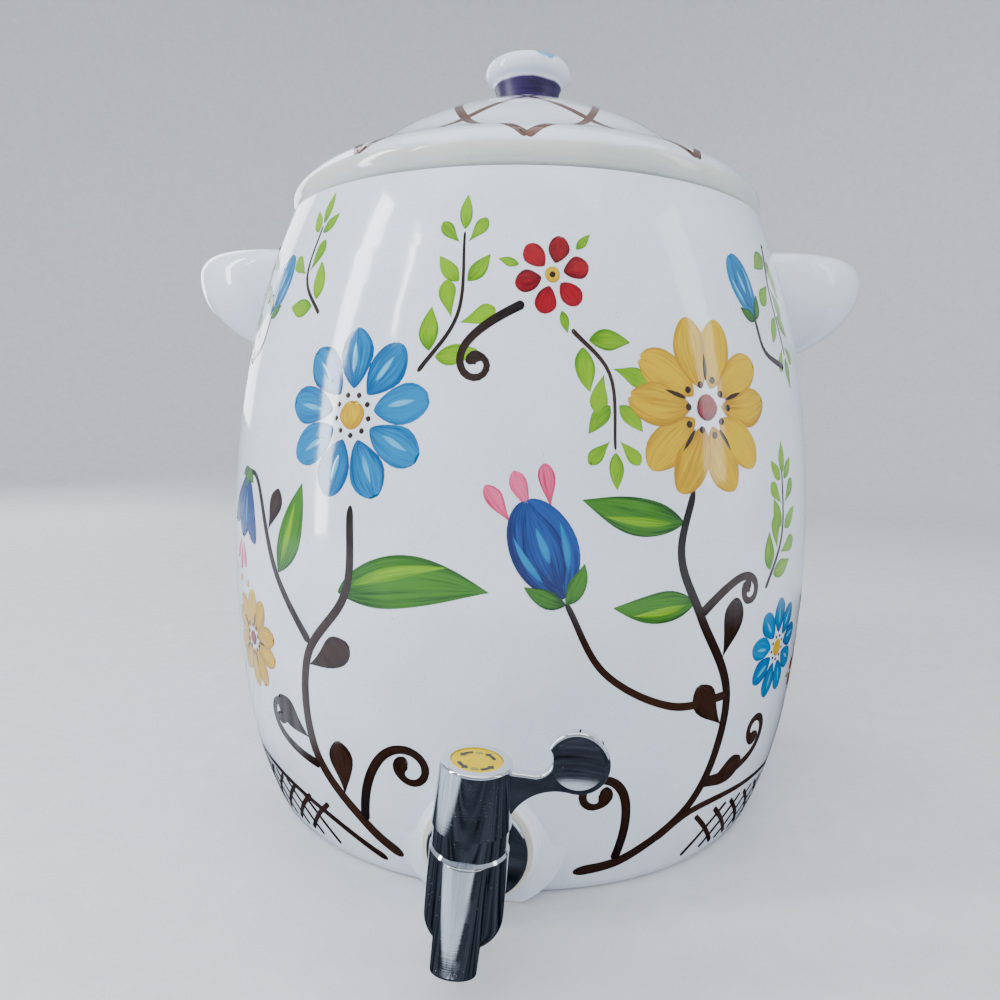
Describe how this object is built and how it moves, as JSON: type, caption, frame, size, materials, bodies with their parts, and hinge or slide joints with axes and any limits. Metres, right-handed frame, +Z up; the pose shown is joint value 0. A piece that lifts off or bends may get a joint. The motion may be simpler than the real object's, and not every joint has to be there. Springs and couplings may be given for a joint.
{
  "type": "clay water pot with tap",
  "caption": "Barrel-shaped glazed clay water crock with two side lugs, a lift-off domed lid with a knob, and a quarter-turn tap with a side lever low on the front.",
  "frame": {"origin": "centre of the flat base", "axes": "+Z up from the base, -Y out of the tap, +X towards the lug on the tap lever's side"},
  "size_m": [0.3836, 0.3924, 0.417],
  "materials": {
    "glazed_clay": "glossy white tin glaze",
    "chrome": "bright chrome plate, lightly scratched",
    "brass": "turned brass",
    "black_rubber": "matt",
    "cream_plastic": "satin cream",
    "yellow_plastic": "glossy yellow",
    "steel": "plain steel"
  },
  "bodies": {
    "crock": {"crock_body": "glazed_clay", "tap_boss": "glazed_clay", "left_lug": "glazed_clay", "right_lug": "glazed_clay", "tap_body": "chrome", "outer_washer": "cream_plastic", "inner_washer": "black_rubber", "lock_nut": "brass", "plug_retaining_nut": "brass"},
    "lid": {"lid": "glazed_clay", "lid_knob": "glazed_clay"},
    "tap_handle": {"handle_cap": "chrome", "index_disc": "yellow_plastic", "handle_screw": "steel", "valve_plug": "brass", "plug_o_ring_upper": "black_rubber", "plug_o_ring_lower": "black_rubber"}
  },
  "joints": [
    {"name": "lid_lift", "type": "slide", "parent": "crock", "child": "lid", "axis": [0, 0, 1], "range_m": [0, 0.12]},
    {"name": "tap_turn", "type": "hinge", "parent": "crock", "child": "tap_handle", "pos_m": [0, -0.2, 0.034], "axis": [0.0671, 0, 0.9977], "range_deg": [-180, 0]}
  ]
}
